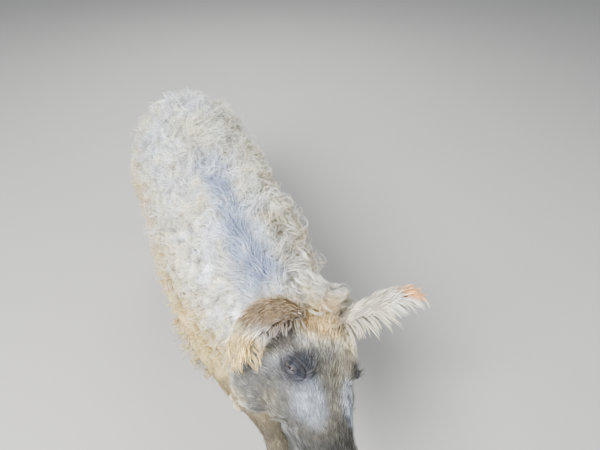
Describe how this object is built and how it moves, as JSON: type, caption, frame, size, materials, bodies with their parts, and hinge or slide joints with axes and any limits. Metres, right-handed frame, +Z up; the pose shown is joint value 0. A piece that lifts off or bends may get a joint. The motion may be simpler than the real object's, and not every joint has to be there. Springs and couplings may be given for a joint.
{
  "type": "mangalica pig model",
  "caption": "Life-size standing model of a curly-coated mangalica sow with lowered head, lop ears, cloven hooves and a hanging tail.",
  "frame": {"origin": "on the floor, under the middle of the outline, which is the middle of the bounding box seen from above", "axes": "+Z up; the sow faces -Y with her tail towards +Y; +X is her left side"},
  "size_m": [0.6616, 1.6284, 0.7847],
  "materials": {
    "curly_coat": "dense curly cream hair",
    "face_hair": "short flat grey-cream hair over grey skin",
    "ear_hair": "long straw-coloured hair over a thin ear",
    "snout_skin": "bare, slightly moist, dark grey skin",
    "eye": "wet, glossy dark brown",
    "horn": "dull dark horn"
  },
  "bodies": {
    "root": {"ear_left": "ear_hair", "ear_right": "ear_hair", "eye_left": "eye", "eye_right": "eye", "fore_leg_left_inner_claw": "horn", "fore_leg_left_inner_dewclaw": "horn", "fore_leg_left_lower": "curly_coat", "fore_leg_left_outer_claw": "horn", "fore_leg_left_outer_dewclaw": "horn", "fore_leg_left_upper": "curly_coat", "fore_leg_right_inner_claw": "horn", "fore_leg_right_inner_dewclaw": "horn", "fore_leg_right_lower": "curly_coat", "fore_leg_right_outer_claw": "horn", "fore_leg_right_outer_dewclaw": "horn", "fore_leg_right_upper": "curly_coat", "head": "face_hair", "hind_leg_left_inner_claw": "horn", "hind_leg_left_inner_dewclaw": "horn", "hind_leg_left_lower": "curly_coat", "hind_leg_left_outer_claw": "horn", "hind_leg_left_outer_dewclaw": "horn", "hind_leg_left_upper": "curly_coat", "hind_leg_right_inner_claw": "horn", "hind_leg_right_inner_dewclaw": "horn", "hind_leg_right_lower": "curly_coat", "hind_leg_right_outer_claw": "horn", "hind_leg_right_outer_dewclaw": "horn", "hind_leg_right_upper": "curly_coat", "lower_jaw": "face_hair", "neck": "curly_coat", "snout": "snout_skin", "tail_root": "curly_coat", "tail_tip": "curly_coat", "torso_front": "curly_coat", "torso_rear": "curly_coat"}
  },
  "joints": []
}
